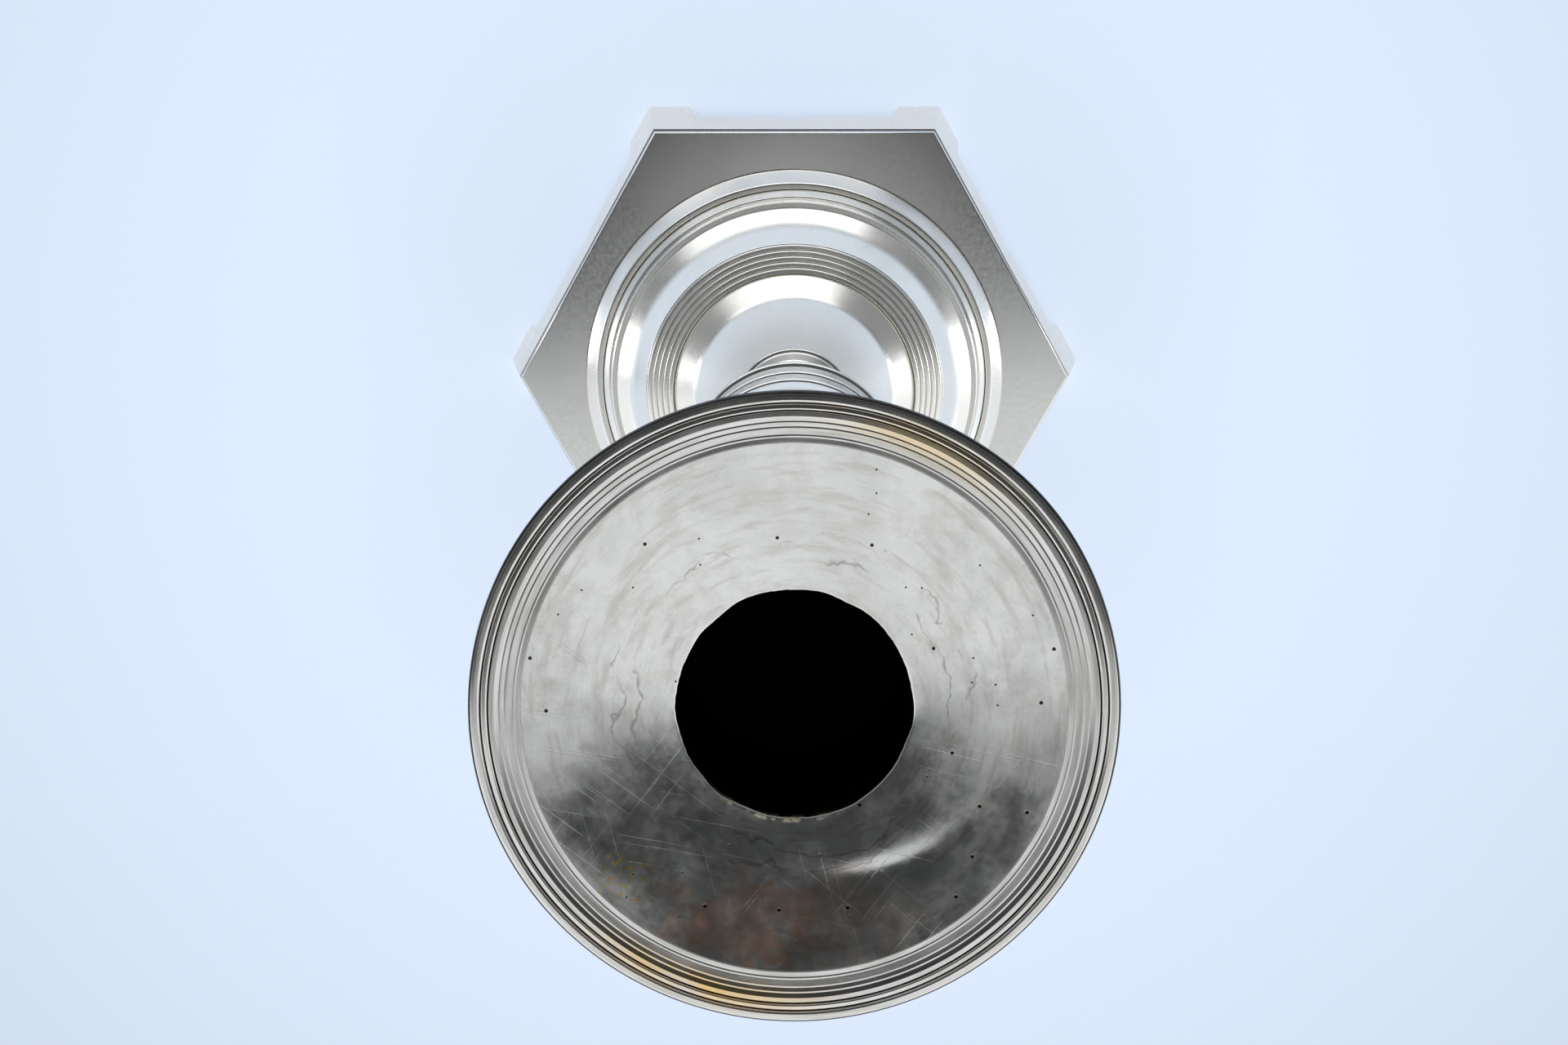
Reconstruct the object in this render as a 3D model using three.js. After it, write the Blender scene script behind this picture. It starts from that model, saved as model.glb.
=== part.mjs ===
// A hexagonal-footed table candlestick, in millimetres, +Z up.
// The origin is the centre of the foot, on the surface that it stands on.
// The stem is a stack of turned pieces on a tie rod.
// The nozzle (pan, rim and sleeve) lifts out of the socket.
import * as THREE from 'three';

// ---- Driving dimensions ----
const FIT_GAP = 0.3;            // seam left between pieces that touch
const LARGE_SIDES = 32;         // facets of the base rings and of the pan
const SMALL_SIDES = 24;         // facets of the stem

const PLATE_TOP = 16.7;         // height of the foot plate's upper face
const PLATE_THICKNESS = 1.4;
const PLATE_HALF_WIDTH = 42.8;  // to the corners on X
const PLATE_APOTHEM = 38.3;     // to the flats on Y
const PLATE_HALF_FLAT = 21.6;   // half the length of the flats on Y
const WALL_FLARE = 1.063;       // the wall is this much wider at the floor than at the plate
const WALL_THICKNESS = 1.6;
const FOOT_WIDTH = 6.6;         // each wing of a corner foot, along the wall
const APRON_EDGE = 7.4;         // height of the apron's lower edge
const NOTCH_RISE = 2.6;         // the notch in the middle of that edge
const NOTCH_HALF_WIDTH = 4.4;
const NOTCH_EASE = 1;           // how far from its middle, and how high, the notch's curve is held down
const NOTCH_EASE_RISE = 0.3;
const TOE_TAPER = 0.7;          // each wing of a foot narrows by this much towards the floor,
const TOE_DROP = 1.5;           // starting this far below the apron's edge

const RIM_LEVEL = 214.7;        // the widest line of the nozzle's rim
const PAN_RADIUS = 31.7;
const BORE_RADIUS = 11.5;       // takes a 22 mm candle
const DISH_RADIUS = 26.6;       // where the dish meets the rim moulding
const DISH_DEPTH = 2.5;         // the dish's fall from there to the bore
const PAN_SHEET = 0.9;
const SLEEVE_WALL = 0.8;
const SLEEVE_LENGTH = 22;
const SLEEVE_PLAY = 0.45;       // radial play of the sleeve in the socket

const ROD_RADIUS = 2.5;
const ROD_HOLE = ROD_RADIUS + FIT_GAP;

// ---- Helpers ----
function steel(color, roughness, metalness = 1) {
  return new THREE.MeshStandardMaterial({ color, roughness, metalness });
}

const POLISHED = { color: 0xd9dadb, roughness: 0.22 };
const WORN = { color: 0xc8c7c2, roughness: 0.18 };
const SATIN = { color: 0xa9a7a3, roughness: 0.2 };
const DARK_BORE = { color: 0x2a2724, roughness: 0.6 };
const IRON = { color: 0x77787a, roughness: 0.45 };
const PITCH = { color: 0x1d1a18, roughness: 0.8 };

const candlestick = new THREE.Group();
candlestick.name = 'candlestick';

function addPiece(name, geometry, look) {
  const mesh = new THREE.Mesh(geometry, steel(look.color, look.roughness));
  mesh.name = name;
  candlestick.add(mesh);
  return mesh;
}

// Revolves a closed section of [radius, height] points, given anticlockwise, about Z.
function turned(section, sides) {
  const points = section.map(([radius, height]) => new THREE.Vector2(radius, height));
  points.push(points[0].clone());
  const geometry = new THREE.LatheGeometry(points, sides);
  geometry.rotateX(Math.PI / 2);
  return geometry;
}

// Points on an arc, from one angle to another in degrees, both ends included.
function arc(centreRadius, centreHeight, radius, from, to, steps) {
  const points = [];
  for (let i = 0; i <= steps; i += 1) {
    const angle = THREE.MathUtils.degToRad(from + ((to - from) * i) / steps);
    points.push([centreRadius + radius * Math.cos(angle), centreHeight + radius * Math.sin(angle)]);
  }
  return points;
}

// ---- Foot: plate, corner feet and apron strips ----
const PLATE_CORNERS = [
  [PLATE_HALF_WIDTH, 0],
  [PLATE_HALF_FLAT, PLATE_APOTHEM],
  [-PLATE_HALF_FLAT, PLATE_APOTHEM],
  [-PLATE_HALF_WIDTH, 0],
  [-PLATE_HALF_FLAT, -PLATE_APOTHEM],
  [PLATE_HALF_FLAT, -PLATE_APOTHEM],
].map(([x, y]) => new THREE.Vector2(x, y));

const WALL_TOP = PLATE_TOP - PLATE_THICKNESS - FIT_GAP;
const BOSS_HOLE = 25.3;

// The wall's outline at a height, shrunk by its thickness on the inner side.
function wallScale(height, inner) {
  const flare = 1 + (WALL_FLARE - 1) * (1 - height / PLATE_TOP);
  return inner ? flare - WALL_THICKNESS / PLATE_APOTHEM : flare;
}

// A point on the wall: a distance along side `side` from its first corner, in millimetres at plate level.
function wallPoint(side, along, height, inner) {
  const start = PLATE_CORNERS[side % 6];
  const end = PLATE_CORNERS[(side + 1) % 6];
  const fraction = along / start.distanceTo(end);
  const point = start.clone().lerp(end, fraction).multiplyScalar(wallScale(height, inner));
  return [point.x, point.y, height];
}

// Bends a flat extrusion, 1 thick, onto the wall: x runs along the side and y is the height.
// Points with z under 0.5 are on the inner face.
function bendToWall(geometry, sideOf, alongOf) {
  const position = geometry.getAttribute('position');
  for (let i = 0; i < position.count; i += 1) {
    const x = position.getX(i);
    const inner = position.getZ(i) < 0.5;
    const [px, py, pz] = wallPoint(sideOf(x), alongOf(x), position.getY(i), inner);
    position.setXYZ(i, px, py, pz);
  }
  return geometry;
}

function sideLength(side) {
  return PLATE_CORNERS[side % 6].distanceTo(PLATE_CORNERS[(side + 1) % 6]);
}

function basePlate() {
  const outline = new THREE.Shape(PLATE_CORNERS);
  const hole = new THREE.Path();
  hole.absarc(0, 0, BOSS_HOLE, 0, Math.PI * 2, true);
  outline.holes.push(hole);
  const geometry = new THREE.ExtrudeGeometry(outline, {
    depth: PLATE_THICKNESS,
    bevelEnabled: false,
    curveSegments: LARGE_SIDES,
  });
  geometry.translate(0, 0, PLATE_TOP - PLATE_THICKNESS);
  return geometry;
}

function apronStrip(side) {
  const first = FOOT_WIDTH + FIT_GAP;
  const last = sideLength(side) - FOOT_WIDTH - FIT_GAP;
  const middle = (first + last) / 2;
  const easeHeight = APRON_EDGE + NOTCH_EASE_RISE;
  const outline = new THREE.Shape();
  outline.moveTo(first, APRON_EDGE);
  outline.lineTo(middle - NOTCH_HALF_WIDTH, APRON_EDGE);
  outline.quadraticCurveTo(middle - NOTCH_EASE, easeHeight, middle, APRON_EDGE + NOTCH_RISE);
  outline.quadraticCurveTo(middle + NOTCH_EASE, easeHeight, middle + NOTCH_HALF_WIDTH, APRON_EDGE);
  outline.lineTo(last, APRON_EDGE);
  outline.lineTo(last, WALL_TOP);
  outline.lineTo(first, WALL_TOP);
  const geometry = new THREE.ExtrudeGeometry(outline, { depth: 1, bevelEnabled: false, curveSegments: 4 });
  return bendToWall(geometry, () => side, (x) => x);
}

// An angled foot round corner `corner`: negative x lies on the side before the corner, positive x after it.
function cornerFoot(corner) {
  const before = (corner + 5) % 6;
  const toe = FOOT_WIDTH - TOE_TAPER;
  const outline = new THREE.Shape();
  outline.moveTo(-toe, 0);
  outline.lineTo(0, 0);
  outline.lineTo(toe, 0);
  outline.lineTo(FOOT_WIDTH, APRON_EDGE - TOE_DROP);
  outline.lineTo(FOOT_WIDTH, WALL_TOP);
  outline.lineTo(0, WALL_TOP);
  outline.lineTo(-FOOT_WIDTH, WALL_TOP);
  outline.lineTo(-FOOT_WIDTH, APRON_EDGE - TOE_DROP);
  return footSolid(outline.getPoints(), before, corner);
}

// Joins the outer and inner outlines of a foot, with each face split at the corner line.
function footSolid(outline, before, corner) {
  const onWall = ({ x, y }, inner) => {
    const side = x < 0 ? before : corner;
    const along = x < 0 ? sideLength(before) + x : x;
    return wallPoint(side, along, y, inner);
  };
  const left = outline.filter((point) => point.x <= 0);
  const right = outline.filter((point) => point.x >= 0);
  const triangles = [];
  const face = (points, inner) => {
    for (const [a, b, c] of THREE.ShapeUtils.triangulateShape(points, [])) {
      const order = inner ? [c, b, a] : [a, b, c];
      triangles.push(...order.map((index) => onWall(points[index], inner)));
    }
  };
  for (const wing of [left, right]) {
    const loop = THREE.ShapeUtils.isClockWise(wing) ? wing.slice().reverse() : wing;
    face(loop, false);
    face(loop, true);
  }
  outline.forEach((point, index) => {
    const next = outline[(index + 1) % outline.length];
    const quad = [onWall(point, false), onWall(next, false), onWall(next, true), onWall(point, true)];
    triangles.push(quad[0], quad[2], quad[1], quad[0], quad[3], quad[2]);
  });
  const geometry = new THREE.BufferGeometry();
  geometry.setAttribute('position', new THREE.Float32BufferAttribute(triangles.flat(), 3));
  return geometry;
}

addPiece('base_plate', basePlate(), SATIN);
for (let i = 0; i < 6; i += 1) {
  addPiece(`apron_${i + 1}`, apronStrip(i), POLISHED);
  addPiece(`corner_foot_${i + 1}`, cornerFoot(i), POLISHED);
}

// ---- Boss on the plate: ring mouldings and bell. Heights are above the plate ----
function onPlate(section) {
  return section.map(([radius, height]) => [radius, PLATE_TOP + height]);
}

const TORUS_INNER = 29.7;
const TORUS_TOP = 3.1;
const BOSS_INNER = 25.5;
const STEP_RADIUS = 28.1;
const STEP_TOP = 6.8;
const DRUM_BASE = STEP_TOP + FIT_GAP;
const DRUM_INNER = 21.8;
const REED_BASE = 12.4;

function baseTorus() {
  const section = [
    [TORUS_INNER, FIT_GAP],
    [32.6, FIT_GAP],
    [32.4, 0.9],
    [31.5, 2.3],
    [30.6, TORUS_TOP],
    [TORUS_INNER, TORUS_TOP],
  ];
  return turned(onPlate(section), LARGE_SIDES);
}

function baseStep() {
  const section = [
    [BOSS_INNER, FIT_GAP],
    [TORUS_INNER - FIT_GAP, FIT_GAP],
    [TORUS_INNER - FIT_GAP, 3.6],
    [28.6, 4.4],
    [28.5, 5.4],
    [STEP_RADIUS, 5.8],
    [STEP_RADIUS, STEP_TOP],
    [BOSS_INNER, STEP_TOP],
  ];
  return turned(onPlate(section), LARGE_SIDES);
}

function baseDrum() {
  const section = [
    [DRUM_INNER, DRUM_BASE],
    [27.3, DRUM_BASE],
    [27.2, 7.6],
    [25.6, 8.9],
    [24.4, 10.2],
    [23.5, 11.7],
    [22.6, 13],
    [DRUM_INNER, 12.7],
  ];
  return turned(onPlate(section), LARGE_SIDES);
}

const REED_COUNT = 5;
const REED_OUTER = 22.3;
const REED_INNER = 18.5;
const REED_RISE = 0.42;         // from one reed to the next
const REED_CREST = 0.7;         // height of a reed's crest, and of the groove behind it
const REED_GROOVE = 0.5;

// Reeds and grooves step inward and upward along a gentle slope.
function baseReeding() {
  const section = [[REED_INNER, REED_BASE], [21.4, REED_BASE], [REED_OUTER, REED_BASE + 1]];
  const pitch = (REED_OUTER - REED_INNER) / REED_COUNT;
  for (let i = 0; i < REED_COUNT; i += 1) {
    const outer = REED_OUTER - i * pitch;
    const height = 13 + REED_RISE * i;
    section.push([outer - pitch / 2, height + REED_CREST]);
    section.push([outer - pitch, height + REED_GROOVE]);
  }
  return turned(onPlate(section), LARGE_SIDES);
}

const BELL_RADIUS = REED_INNER - FIT_GAP;
const NECK_RADIUS = 8.5;
const NECK_HEIGHT = 27;

// A sloping shoulder, then a hollow curve up to the neck.
function baseBell() {
  const section = [
    [ROD_HOLE, REED_BASE],
    [BELL_RADIUS, REED_BASE],
    [BELL_RADIUS, 14.7],
    [BELL_RADIUS - 0.4, 15.3],
    [15.5, 16.8],
    [14.1, 18.5],
    [11.8, 21.9],
    [NECK_RADIUS, NECK_HEIGHT],
    [ROD_HOLE, NECK_HEIGHT],
  ];
  return turned(onPlate(section), LARGE_SIDES);
}

addPiece('base_torus', baseTorus(), POLISHED);
addPiece('base_step', baseStep(), POLISHED);
addPiece('base_drum', baseDrum(), POLISHED);
addPiece('base_reeding', baseReeding(), POLISHED);
addPiece('base_bell', baseBell(), POLISHED);

// ---- Stem: turned pieces stacked on the tie rod. Heights are above the plate ----
const COLLAR_BASE = NECK_HEIGHT + FIT_GAP;
const COLLAR_TOP = 30.3;
const KNOP_BASE = 70.5;
const KNOP_TOP = 96;
const KNOP_RADIUS = 13.9;
const UPPER_KNOP_BASE = 149;
const UPPER_KNOP_TOP = 158;
const SOCKET_BASE = UPPER_KNOP_TOP + FIT_GAP;

function neckCollar() {
  const section = [
    [ROD_HOLE, COLLAR_BASE],
    [8.4, COLLAR_BASE],
    [8.9, COLLAR_BASE + 0.3],
    [8.7, COLLAR_BASE + 0.7],
    [8.2, COLLAR_BASE + 0.9],
    [8.4, COLLAR_BASE + 1.3],
    [7.4, COLLAR_BASE + 1.9],
    [6.4, COLLAR_TOP],
    [ROD_HOLE, COLLAR_TOP],
  ];
  return turned(onPlate(section), SMALL_SIDES);
}

function lowerShaft() {
  const section = [
    [ROD_HOLE, COLLAR_TOP + FIT_GAP],
    [5.9, COLLAR_TOP + FIT_GAP],
    [4.9, 35.5],
    [4.7, 43],
    [5.4, 54],
    [6.6, 64],
    [6.8, KNOP_BASE - FIT_GAP],
    [ROD_HOLE, KNOP_BASE - FIT_GAP],
  ];
  return turned(onPlate(section), SMALL_SIDES);
}

const GROOVE_HEIGHTS = [74.2, 79.7, 85.1];
const GROOVE_DEPTH = 0.7;
const GROOVE_HALF_WIDTH = 0.6;

function midKnop() {
  const section = [
    [ROD_HOLE, KNOP_BASE],
    [7.4, KNOP_BASE],
    [9.6, 71.2],
    [13.4, 72],
    [KNOP_RADIUS, 72.8],
  ];
  for (const height of GROOVE_HEIGHTS) {
    section.push([KNOP_RADIUS, height - GROOVE_HALF_WIDTH]);
    section.push([KNOP_RADIUS - GROOVE_DEPTH, height]);
    section.push([KNOP_RADIUS, height + GROOVE_HALF_WIDTH]);
  }
  section.push([13.1, 88.4], [9.8, 92.2], [7.2, KNOP_TOP], [ROD_HOLE, KNOP_TOP]);
  return turned(onPlate(section), SMALL_SIDES);
}

function upperShaft() {
  const section = [
    [ROD_HOLE, KNOP_TOP + FIT_GAP],
    [6.2, KNOP_TOP + FIT_GAP],
    [5.2, 100],
    [6.4, 107],
    [9.3, 118],
    [10.1, 125],
    [9.1, 132],
    [6.3, 139],
    [5, 144],
    [5.6, UPPER_KNOP_BASE - FIT_GAP],
    [ROD_HOLE, UPPER_KNOP_BASE - FIT_GAP],
  ];
  return turned(onPlate(section), SMALL_SIDES);
}

function upperKnop() {
  const section = [
    [ROD_HOLE, UPPER_KNOP_BASE],
    [6.4, UPPER_KNOP_BASE],
    ...arc(6.6, 152.8, 3, -70, 70, 4),
    [6.2, 156.2],
    [6.2, UPPER_KNOP_TOP],
    [ROD_HOLE, UPPER_KNOP_TOP],
  ];
  return turned(onPlate(section), SMALL_SIDES);
}

addPiece('neck_collar', neckCollar(), POLISHED);
addPiece('lower_shaft', lowerShaft(), POLISHED);
addPiece('mid_knop', midKnop(), POLISHED);
addPiece('upper_shaft', upperShaft(), POLISHED);
addPiece('upper_knop', upperKnop(), POLISHED);

// ---- Socket: a cup with a blind bore that the nozzle's sleeve drops into ----
const SLEEVE_OUTER = BORE_RADIUS + SLEEVE_WALL;
const SOCKET_BORE = SLEEVE_OUTER + SLEEVE_PLAY;
const SOCKET_WALL = 1.1;
const SOCKET_FLOOR_THICKNESS = 3;
const PAN_CLEARANCE = 0.4;      // between the socket's mouth and the pan, besides the fit gap
const SLEEVE_CLEARANCE = 4;     // between the sleeve's end and the socket's floor
const WIRE_RADIUS = 1.3;        // of the wire round the socket's mouth
const WIRE_SETBACK = 1.4;       // of the wire's middle below the mouth
const BORE_EDGE = RIM_LEVEL - DISH_DEPTH;
const SOCKET_TOP = BORE_EDGE - PAN_SHEET - FIT_GAP - PAN_CLEARANCE;
const SOCKET_FLOOR = BORE_EDGE - SLEEVE_LENGTH - SLEEVE_CLEARANCE;
const ROD_TOP = SOCKET_FLOOR - SOCKET_FLOOR_THICKNESS;

function socketCup() {
  const foot = PLATE_TOP + SOCKET_BASE;
  const outer = SOCKET_BORE + SOCKET_WALL;
  const section = [
    [0, ROD_TOP + FIT_GAP],
    [ROD_HOLE, ROD_TOP + FIT_GAP],
    [ROD_HOLE, foot],
    [7, foot],
    [10.6, foot + 4],
    [13.4, foot + 8.5],
    [outer + 0.6, foot + 14],
    [outer, foot + 20],
    [outer, SOCKET_TOP],
    [SOCKET_BORE, SOCKET_TOP],
    [SOCKET_BORE, SOCKET_FLOOR],
    [0, SOCKET_FLOOR],
  ];
  const points = section.map(([radius, height]) => new THREE.Vector2(radius, height));
  const geometry = new THREE.LatheGeometry(points, SMALL_SIDES);
  geometry.rotateX(Math.PI / 2);
  return geometry;
}

// A half-round wire round the outside of the socket's mouth.
function socketRim() {
  const inner = SOCKET_BORE + SOCKET_WALL + FIT_GAP;
  const middle = SOCKET_TOP - WIRE_SETBACK;
  const section = [
    [inner, middle - WIRE_RADIUS],
    ...arc(inner + 0.1, middle, WIRE_RADIUS, -80, 80, 4),
    [inner, middle + WIRE_RADIUS],
  ];
  return turned(section, SMALL_SIDES);
}

addPiece('socket_cup', socketCup(), POLISHED);
addPiece('socket_rim', socketRim(), POLISHED);

// ---- Nozzle: conical pan, moulded rim and candle sleeve ----
const RIM_BEAD = 0.62;
const FLANGE_RADIUS = 30.6;
const FLANGE_DROP = 0.5;
const DISH_LIP = 0.1;           // how far the dish's edge lies below the rim level
const SLEEVE_TOP = BORE_EDGE - PAN_SHEET - FIT_GAP;

function nozzlePan() {
  const section = [
    [BORE_RADIUS, BORE_EDGE - PAN_SHEET],
    [DISH_RADIUS, RIM_LEVEL - PAN_SHEET],
    [FLANGE_RADIUS, RIM_LEVEL - PAN_SHEET],
    [FLANGE_RADIUS, RIM_LEVEL - FLANGE_DROP],
    [DISH_RADIUS, RIM_LEVEL - FLANGE_DROP],
    [DISH_RADIUS, RIM_LEVEL - DISH_LIP],
    [BORE_RADIUS, BORE_EDGE],
  ];
  return turned(section, LARGE_SIDES);
}

// The rim sits on the pan's flange. It has an outer bead, a finer one inside it, and a hollow in to the dish.
function nozzleRim() {
  const beadCentre = PAN_RADIUS - RIM_BEAD;
  const seat = RIM_LEVEL - FLANGE_DROP + FIT_GAP;
  const inner = DISH_RADIUS + FIT_GAP;
  const section = [
    [FLANGE_RADIUS + FIT_GAP, RIM_LEVEL - 0.75],
    ...arc(beadCentre, RIM_LEVEL, RIM_BEAD, -60, 150, 5),
    [30.4, RIM_LEVEL + 0.12],
    [30.3, RIM_LEVEL + 0.42],
    [29.9, RIM_LEVEL + 0.42],
    [29.7, RIM_LEVEL + 0.15],
    [29.2, RIM_LEVEL + 0.25],
    [28.4, RIM_LEVEL + 0.07],
    [27.3, RIM_LEVEL - 0.05],
    [inner, RIM_LEVEL - 0.05],
    [inner, seat],
    [FLANGE_RADIUS + FIT_GAP, seat],
  ];
  return turned(section, LARGE_SIDES);
}

function nozzleSleeve() {
  const bottom = BORE_EDGE - SLEEVE_LENGTH;
  const section = [
    [BORE_RADIUS, bottom],
    [SLEEVE_OUTER, bottom],
    [SLEEVE_OUTER, SLEEVE_TOP],
    [BORE_RADIUS, SLEEVE_TOP],
  ];
  return turned(section, LARGE_SIDES);
}

addPiece('nozzle_pan', nozzlePan(), WORN);
addPiece('nozzle_rim', nozzleRim(), POLISHED);
addPiece('nozzle_sleeve', nozzleSleeve(), DARK_BORE);

// ---- Inside: loading, tie rod and its fixings ----
const ROD_BOTTOM = 5;
const ROD_SIDES = 16;
const CLAMP_RADIUS = 29;
const CLAMP_TOP = PLATE_TOP - PLATE_THICKNESS - FIT_GAP;
const CLAMP_BOTTOM = CLAMP_TOP - 1.5;
const WASHER_RADIUS = 7.5;
const WASHER_TOP = CLAMP_BOTTOM - FIT_GAP;
const WASHER_BOTTOM = WASHER_TOP - 1;
const NUT_TOP = WASHER_BOTTOM - FIT_GAP;
const NUT_HEIGHT = 4;
const NUT_ACROSS_FLATS = 8;

function baseFiller() {
  const bottom = CLAMP_TOP + FIT_GAP;
  const step = PLATE_TOP + STEP_TOP;
  const top = PLATE_TOP + REED_BASE - FIT_GAP;
  const section = [
    [ROD_HOLE, bottom],
    [BOSS_HOLE - FIT_GAP, bottom],
    [BOSS_HOLE - FIT_GAP, step],
    [DRUM_INNER - FIT_GAP, step],
    [21.2, top],
    [ROD_HOLE, top],
  ];
  return turned(section, LARGE_SIDES);
}

function ring(inner, outer, bottom, top, sides) {
  return turned([[inner, bottom], [outer, bottom], [outer, top], [inner, top]], sides);
}

function tieRod() {
  const geometry = new THREE.CylinderGeometry(ROD_RADIUS, ROD_RADIUS, ROD_TOP - ROD_BOTTOM, ROD_SIDES);
  geometry.rotateX(Math.PI / 2);
  geometry.translate(0, 0, (ROD_TOP + ROD_BOTTOM) / 2);
  return geometry;
}

function tieNut() {
  const corner = NUT_ACROSS_FLATS / Math.sqrt(3);
  const outline = new THREE.Shape();
  for (let i = 0; i < 6; i += 1) {
    const angle = (Math.PI / 3) * i;
    const place = [corner * Math.cos(angle), corner * Math.sin(angle)];
    if (i === 0) {
      outline.moveTo(...place);
    } else {
      outline.lineTo(...place);
    }
  }
  const hole = new THREE.Path();
  hole.absarc(0, 0, ROD_HOLE, 0, Math.PI * 2, true);
  outline.holes.push(hole);
  const geometry = new THREE.ExtrudeGeometry(outline, {
    depth: NUT_HEIGHT,
    bevelEnabled: false,
    curveSegments: ROD_SIDES,
  });
  geometry.translate(0, 0, NUT_TOP - NUT_HEIGHT);
  return geometry;
}

addPiece('base_filler', baseFiller(), PITCH);
addPiece('clamp_plate', ring(ROD_HOLE, CLAMP_RADIUS, CLAMP_BOTTOM, CLAMP_TOP, LARGE_SIDES), IRON);
addPiece('tie_washer', ring(ROD_HOLE, WASHER_RADIUS, WASHER_BOTTOM, WASHER_TOP, SMALL_SIDES), IRON);
addPiece('tie_nut', tieNut(), IRON);
addPiece('tie_rod', tieRod(), IRON);

export default candlestick;
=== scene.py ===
"""The looks of a silver candlestick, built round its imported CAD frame. Metres, +Z up."""
import math

import bmesh
import bpy
from mathutils import Matrix, Vector, noise


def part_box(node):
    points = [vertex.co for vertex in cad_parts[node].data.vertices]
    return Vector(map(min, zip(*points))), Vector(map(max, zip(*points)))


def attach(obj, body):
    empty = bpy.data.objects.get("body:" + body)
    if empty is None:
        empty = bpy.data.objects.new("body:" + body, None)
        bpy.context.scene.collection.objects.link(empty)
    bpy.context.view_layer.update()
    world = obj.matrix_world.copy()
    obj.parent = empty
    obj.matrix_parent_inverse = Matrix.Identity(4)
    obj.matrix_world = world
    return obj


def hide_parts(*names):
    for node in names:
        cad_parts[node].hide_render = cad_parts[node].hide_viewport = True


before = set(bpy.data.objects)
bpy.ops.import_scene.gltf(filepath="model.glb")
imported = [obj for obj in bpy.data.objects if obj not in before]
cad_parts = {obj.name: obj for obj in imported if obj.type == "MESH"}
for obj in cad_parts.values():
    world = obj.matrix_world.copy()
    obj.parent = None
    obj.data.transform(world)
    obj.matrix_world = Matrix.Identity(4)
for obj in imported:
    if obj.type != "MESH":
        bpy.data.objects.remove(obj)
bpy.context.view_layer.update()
MM = 0.001
TURN_STEPS = 192
SHARP_ANGLE = 32          # edges that turn by more degrees than this are shaded sharp
ROUNDING_STEP = 11        # degrees of turn to each facet of a rounded corner

# ---- Sizes taken from the frame, in millimetres ----
PLATE_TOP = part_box("base_plate")[1].z / MM
PLATE_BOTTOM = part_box("base_plate")[0].z / MM
RIM_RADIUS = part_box("nozzle_rim")[1].x / MM
RIM_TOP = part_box("nozzle_rim")[1].z / MM
RIM_BEAD_RISE = 0.6
RIM_LEVEL = RIM_TOP - RIM_BEAD_RISE
SLEEVE_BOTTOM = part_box("nozzle_sleeve")[0].z / MM
SLEEVE_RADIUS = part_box("nozzle_sleeve")[1].x / MM
BORE_RADIUS = 11.5
DISH_DEPTH = 2.5


# ---- Geometry helpers ----
def rounded(corners, closed=True, default=0.12):
    """Corners (radius, height[, fillet]) in mm, with each corner rounded by its fillet."""
    count = len(corners)
    points = []
    for i, corner in enumerate(corners):
        here = Vector(corner[:2])
        fillet = corner[2] if len(corner) > 2 else default
        ends = (i == 0 or i == count - 1) and not closed
        before = Vector(corners[i - 1][:2]) - here
        after = Vector(corners[(i + 1) % count][:2]) - here
        if ends or fillet <= 0 or min(before.length, after.length) < 1e-6:
            points.append(tuple(here))
            continue
        points += fillet_points(here, before, after, fillet)
    return points


def fillet_points(here, before, after, fillet):
    """An arc that rounds the corner between two legs, with a support point on each leg."""
    angle = before.angle(after)
    if angle > math.radians(177):
        return [tuple(here)]
    reach = min(fillet / math.tan(angle / 2), before.length * 0.46, after.length * 0.46)
    radius = reach * math.tan(angle / 2)
    bisector = (before.normalized() + after.normalized()).normalized()
    centre = here + bisector * (radius / math.sin(angle / 2))
    start = here + before.normalized() * reach
    end = here + after.normalized() * reach
    sweep = math.pi - angle
    steps = max(2, math.ceil(sweep / math.radians(ROUNDING_STEP)))
    support = min(0.06, reach * 0.3)
    points = [tuple(start + before.normalized() * support)]
    turn = (start - centre).angle_signed(end - centre)
    for k in range(steps + 1):
        spoke = start - centre
        a = -turn * k / steps
        x = spoke.x * math.cos(a) - spoke.y * math.sin(a)
        y = spoke.x * math.sin(a) + spoke.y * math.cos(a)
        points.append(tuple(centre + Vector((x, y))))
    points.append(tuple(end + after.normalized() * support))
    return points


def turned(name, section, closed=True, warp=None, steps=TURN_STEPS):
    """Revolves a section of (radius, height) points in mm about Z. warp bends (radius, angle, height)."""
    mesh = bpy.data.meshes.new(name)
    shape = bmesh.new()
    rings = []
    for radius, height in section:
        if radius < 1e-6:
            rings.append([shape.verts.new((0, 0, height * MM))])
            continue
        ring = []
        for k in range(steps):
            angle = math.tau * k / steps
            r, z = warp(radius, angle, height) if warp else (radius, height)
            ring.append(shape.verts.new((r * MM * math.cos(angle), r * MM * math.sin(angle), z * MM)))
        rings.append(ring)
    pairs = list(zip(rings, rings[1:]))
    if closed:
        pairs.append((rings[-1], rings[0]))
    for low, high in pairs:
        join_rings(shape, low, high, steps)
    bmesh.ops.recalc_face_normals(shape, faces=shape.faces)
    return finish_mesh(name, mesh, shape)


def join_rings(shape, low, high, steps):
    """Faces between two rings, either of which may be a single point on the axis."""
    for k in range(steps):
        n = (k + 1) % steps
        if len(low) == 1 and len(high) == 1:
            return
        if len(low) == 1:
            shape.faces.new((low[0], high[n], high[k]))
        elif len(high) == 1:
            shape.faces.new((low[k], low[n], high[0]))
        else:
            shape.faces.new((low[k], low[n], high[n], high[k]))


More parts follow.
